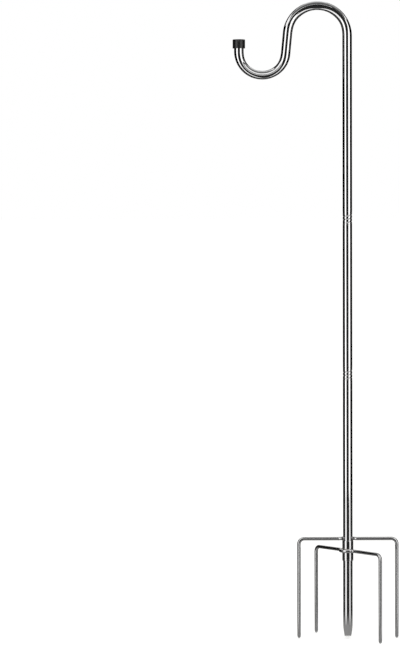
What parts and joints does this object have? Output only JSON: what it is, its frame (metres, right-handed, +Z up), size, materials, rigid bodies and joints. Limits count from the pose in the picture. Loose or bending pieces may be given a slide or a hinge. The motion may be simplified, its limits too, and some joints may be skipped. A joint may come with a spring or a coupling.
{
  "type": "bird feeder pole",
  "caption": "Sectional garden pole of polished steel tube with a shepherd's hook, screw joints and a pronged base that is pushed into the ground.",
  "frame": {"origin": "on the pole's axis, at the level of the prong tips", "axes": "+Z up along the pole, the hook reaches towards -X, +Y to the side away from the front fork's near prong"},
  "size_m": [0.2773, 0.136, 1.072],
  "materials": {
    "polished_tube": "polished",
    "drawn_rod": "satin",
    "weld": "rough",
    "cap": "matte"
  },
  "bodies": {
    "base": {"lower_tube": "polished_tube", "base_sleeve": "polished_tube", "rear_fork": "drawn_rod", "front_fork": "drawn_rod", "rear_fork_tube_weld": "weld", "rear_fork_sleeve_weld": "weld", "front_fork_upper_weld": "weld", "front_fork_lower_weld": "weld"},
    "middle": {"middle_tube": "polished_tube"},
    "hook": {"hook_tube": "polished_tube", "hook_cap": "cap"}
  },
  "joints": [
    {"name": "middle_turn", "type": "hinge", "parent": "base", "child": "middle", "pos_m": [0, 0, 0.437], "axis": [0, 0, 1], "range_deg": [0, 45]},
    {"name": "hook_turn", "type": "hinge", "parent": "middle", "child": "hook", "pos_m": [0, 0, 0.699], "axis": [0, 0, 1], "range_deg": [0, 45]}
  ]
}
